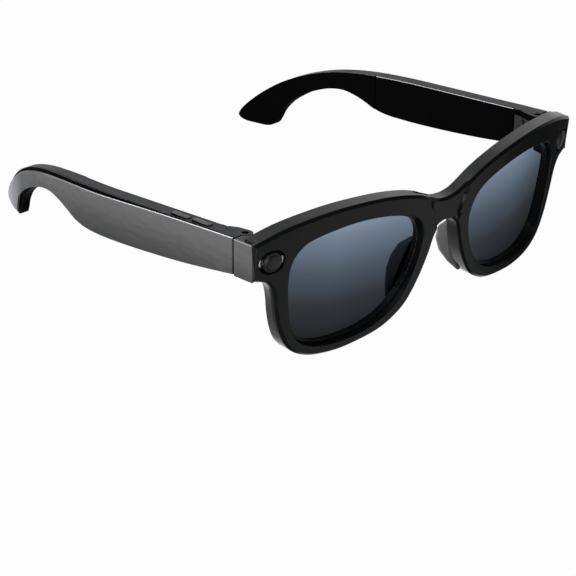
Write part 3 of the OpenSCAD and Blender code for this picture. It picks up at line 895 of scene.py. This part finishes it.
# The rear frame's upward faces take the satin with painted light, and its lens openings' front edges
# a painted highlight.
refined("rear_frame", gloss_black, 0.28, [(top_satin_painted_light, on_frame_top), (painted_edge_highlight, on_ledge)])
for side in ("right", "left"):
    refined(side + "_nose_pad", pad_grey, 0, angle=60)
    # The end panel's rounded top edges take a painted highlight.
    refined(side + "_end_panel", satin_grey, 0.15, [(painted_edge_highlight, faces_aside_and_up)])
    for piece, material, width, zones in (
            ("front_hinge", steel, 0.08, ()), ("hinge_pin", steel, 0.05, ()),
            ("temple_case", inner_black, 0.22, TOPS), ("inner_cover", inner_black, 0.22, TOPS),
            ("ear_tip", inner_black, 0.45, TOPS), ("temple_hinge", steel, 0.1, ()),
            ("hinge_screws", steel, 0.05, ()), ("battery", foil, 0.3, ()),
            ("speaker", plastic, 0.2, ()), ("speaker_mesh", mesh_black, 0.03, ())):
        refined(side + "_" + piece, material, width, zones)
for node, material, width in (
        ("camera_board", board, 0.05), ("light_board", board, 0.05),
        ("brow_flex", flex, 0), ("bridge_microphone", plastic, 0.1), ("main_board", board, 0.05),
        ("touch_board", board, 0.05), ("button_switches", steel, 0.05),
        ("charge_pad", inner_black, 0.1), ("charge_contacts", gold, 0.08)):
    refined(node, material, width)
for node in ("front_button", "rear_button"):
    refined(node, inner_black, 0.16, [(button_grey, faces_up)])


# ---- Stage, light and camera ---------------------------------------------------------------

def pale_glow():
    """An evenly bright white, so that the stage shows no edge and no shadow."""
    look = bpy.data.materials.new("floor_pale")
    look.use_nodes = True
    nodes = look.node_tree.nodes
    glow = nodes.new("ShaderNodeEmission")
    glow.inputs["Color"].default_value = (1, 1, 1, 1)
    glow.inputs["Strength"].default_value = 0.98
    look.node_tree.links.new(glow.outputs[0], nodes["Material Output"].inputs["Surface"])
    return look


def stage():
    """A pale round floor with an upright wall round it, hidden from reflections, diffuse light and
    shadows.
    """
    bm = bmesh.new()
    floor_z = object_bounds()[0].z - 0.05 * MM
    radius, height, sides = 3.0, 2.5, 64
    turns = [2 * math.pi * k / sides for k in range(sides)]
    low, high = [[bm.verts.new((radius * math.cos(a), radius * math.sin(a), floor_z + z))
                  for a in turns] for z in (0, height)]
    bm.faces.new(low)
    for k in range(sides):
        j = (k + 1) % sides
        bm.faces.new([low[k], low[j], high[j], high[k]])
    floor = new_object("floor", bm)
    floor.data.materials.append(pale_glow())
    floor.visible_glossy = False
    floor.visible_diffuse = False
    floor.visible_shadow = False
    floor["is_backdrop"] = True


def area_light(name, direction, distance, size, power):
    """A soft box that looks at the middle of the glasses from a direction."""
    data = bpy.data.lights.new(name, "AREA")
    data.shape = "RECTANGLE"
    data.size, data.size_y = size
    data.energy = power
    light = bpy.data.objects.new(name, data)
    centre = (cad_box[0] + cad_box[1]) / 2
    towards = Vector(direction).normalized()
    light.location = centre + distance * towards
    light.rotation_euler = towards.to_track_quat("Z", "Y").to_euler()
    light.visible_camera = False
    bpy.context.scene.collection.objects.link(light)


# Soft lobes of the studio's light: direction, the cosines where each starts and is full, strength
LOBES = [
    ((-0.47, 0.58, 0.65), 0.55, 1.0, 0.9),
    ((0.85, 0.50, 0.17), 0.70, 1.0, 0.85),
    ((-0.65, 0.55, -0.48), 0.35, 0.95, 0.45),
    ((0.49, 0.58, -0.65), 0.70, 1.0, 1.1),
    ((0.45, -0.72, -0.52), 0.80, 0.98, 0.42),
    ((-0.55, -0.75, -0.15), 0.80, 0.97, 2.0),
    ((0.0, 0.35, 0.94), 0.2, 1.0, 0.12),
]


DARK_ROOM = 0.025


def world():
    """A dark room with soft lobes of light in it."""
    made = bpy.data.worlds.new("studio")
    bpy.context.scene.world = made
    made.use_nodes = True
    nodes, links = made.node_tree.nodes, made.node_tree.links
    direction = nodes.new("ShaderNodeTexCoord").outputs["Generated"]
    total = None
    for towards, start, full, strength in LOBES:
        dot = nodes.new("ShaderNodeVectorMath")
        dot.operation = "DOT_PRODUCT"
        dot.inputs[1].default_value = Vector(towards).normalized()
        links.new(direction, dot.inputs[0])
        lobe = nodes.new("ShaderNodeMapRange")
        lobe.interpolation_type = "SMOOTHSTEP"
        lobe.inputs["From Min"].default_value = start
        lobe.inputs["From Max"].default_value = full
        lobe.inputs["To Max"].default_value = strength
        links.new(dot.outputs["Value"], lobe.inputs["Value"])
        add = nodes.new("ShaderNodeMath")
        add.operation = "ADD"
        links.new(lobe.outputs["Result"], add.inputs[0])
        if total:
            links.new(total, add.inputs[1])
        else:
            add.inputs[1].default_value = DARK_ROOM
        total = add.outputs["Value"]
    background = nodes["Background"]
    background.inputs["Color"].default_value = (1, 1, 1, 1)
    links.new(total, background.inputs["Strength"])


CAMERA_PLACE = Vector((-0.3953, -0.3565, 0.2734))
CAMERA_RIGHT = Vector((0.6902, -0.7196, 0.0756))
CAMERA_BACK = Vector((-0.6559, -0.5780, 0.4854))
FOCAL_LENGTH, SENSOR_WIDTH = 113.92, 36


def camera():
    """Looks from the front and a little above, from the wearer's right."""
    data = bpy.data.cameras.new("camera")
    data.sensor_width = SENSOR_WIDTH
    data.lens = FOCAL_LENGTH
    data.clip_start, data.clip_end = 0.02, 20
    made = bpy.data.objects.new("camera", data)
    right, back = CAMERA_RIGHT.normalized(), CAMERA_BACK.normalized()
    turn = Matrix((right, back.cross(right), back)).transposed()
    made.matrix_world = Matrix.Translation(CAMERA_PLACE) @ turn.to_4x4()
    bpy.context.scene.collection.objects.link(made)
    bpy.context.scene.camera = made


stage()
world()
camera()
area_light("edge_light", (-0.485, 0.578, 0.656), 0.8, (0.5, 0.5), 3)
bpy.context.scene.view_settings.view_transform = "Standard"
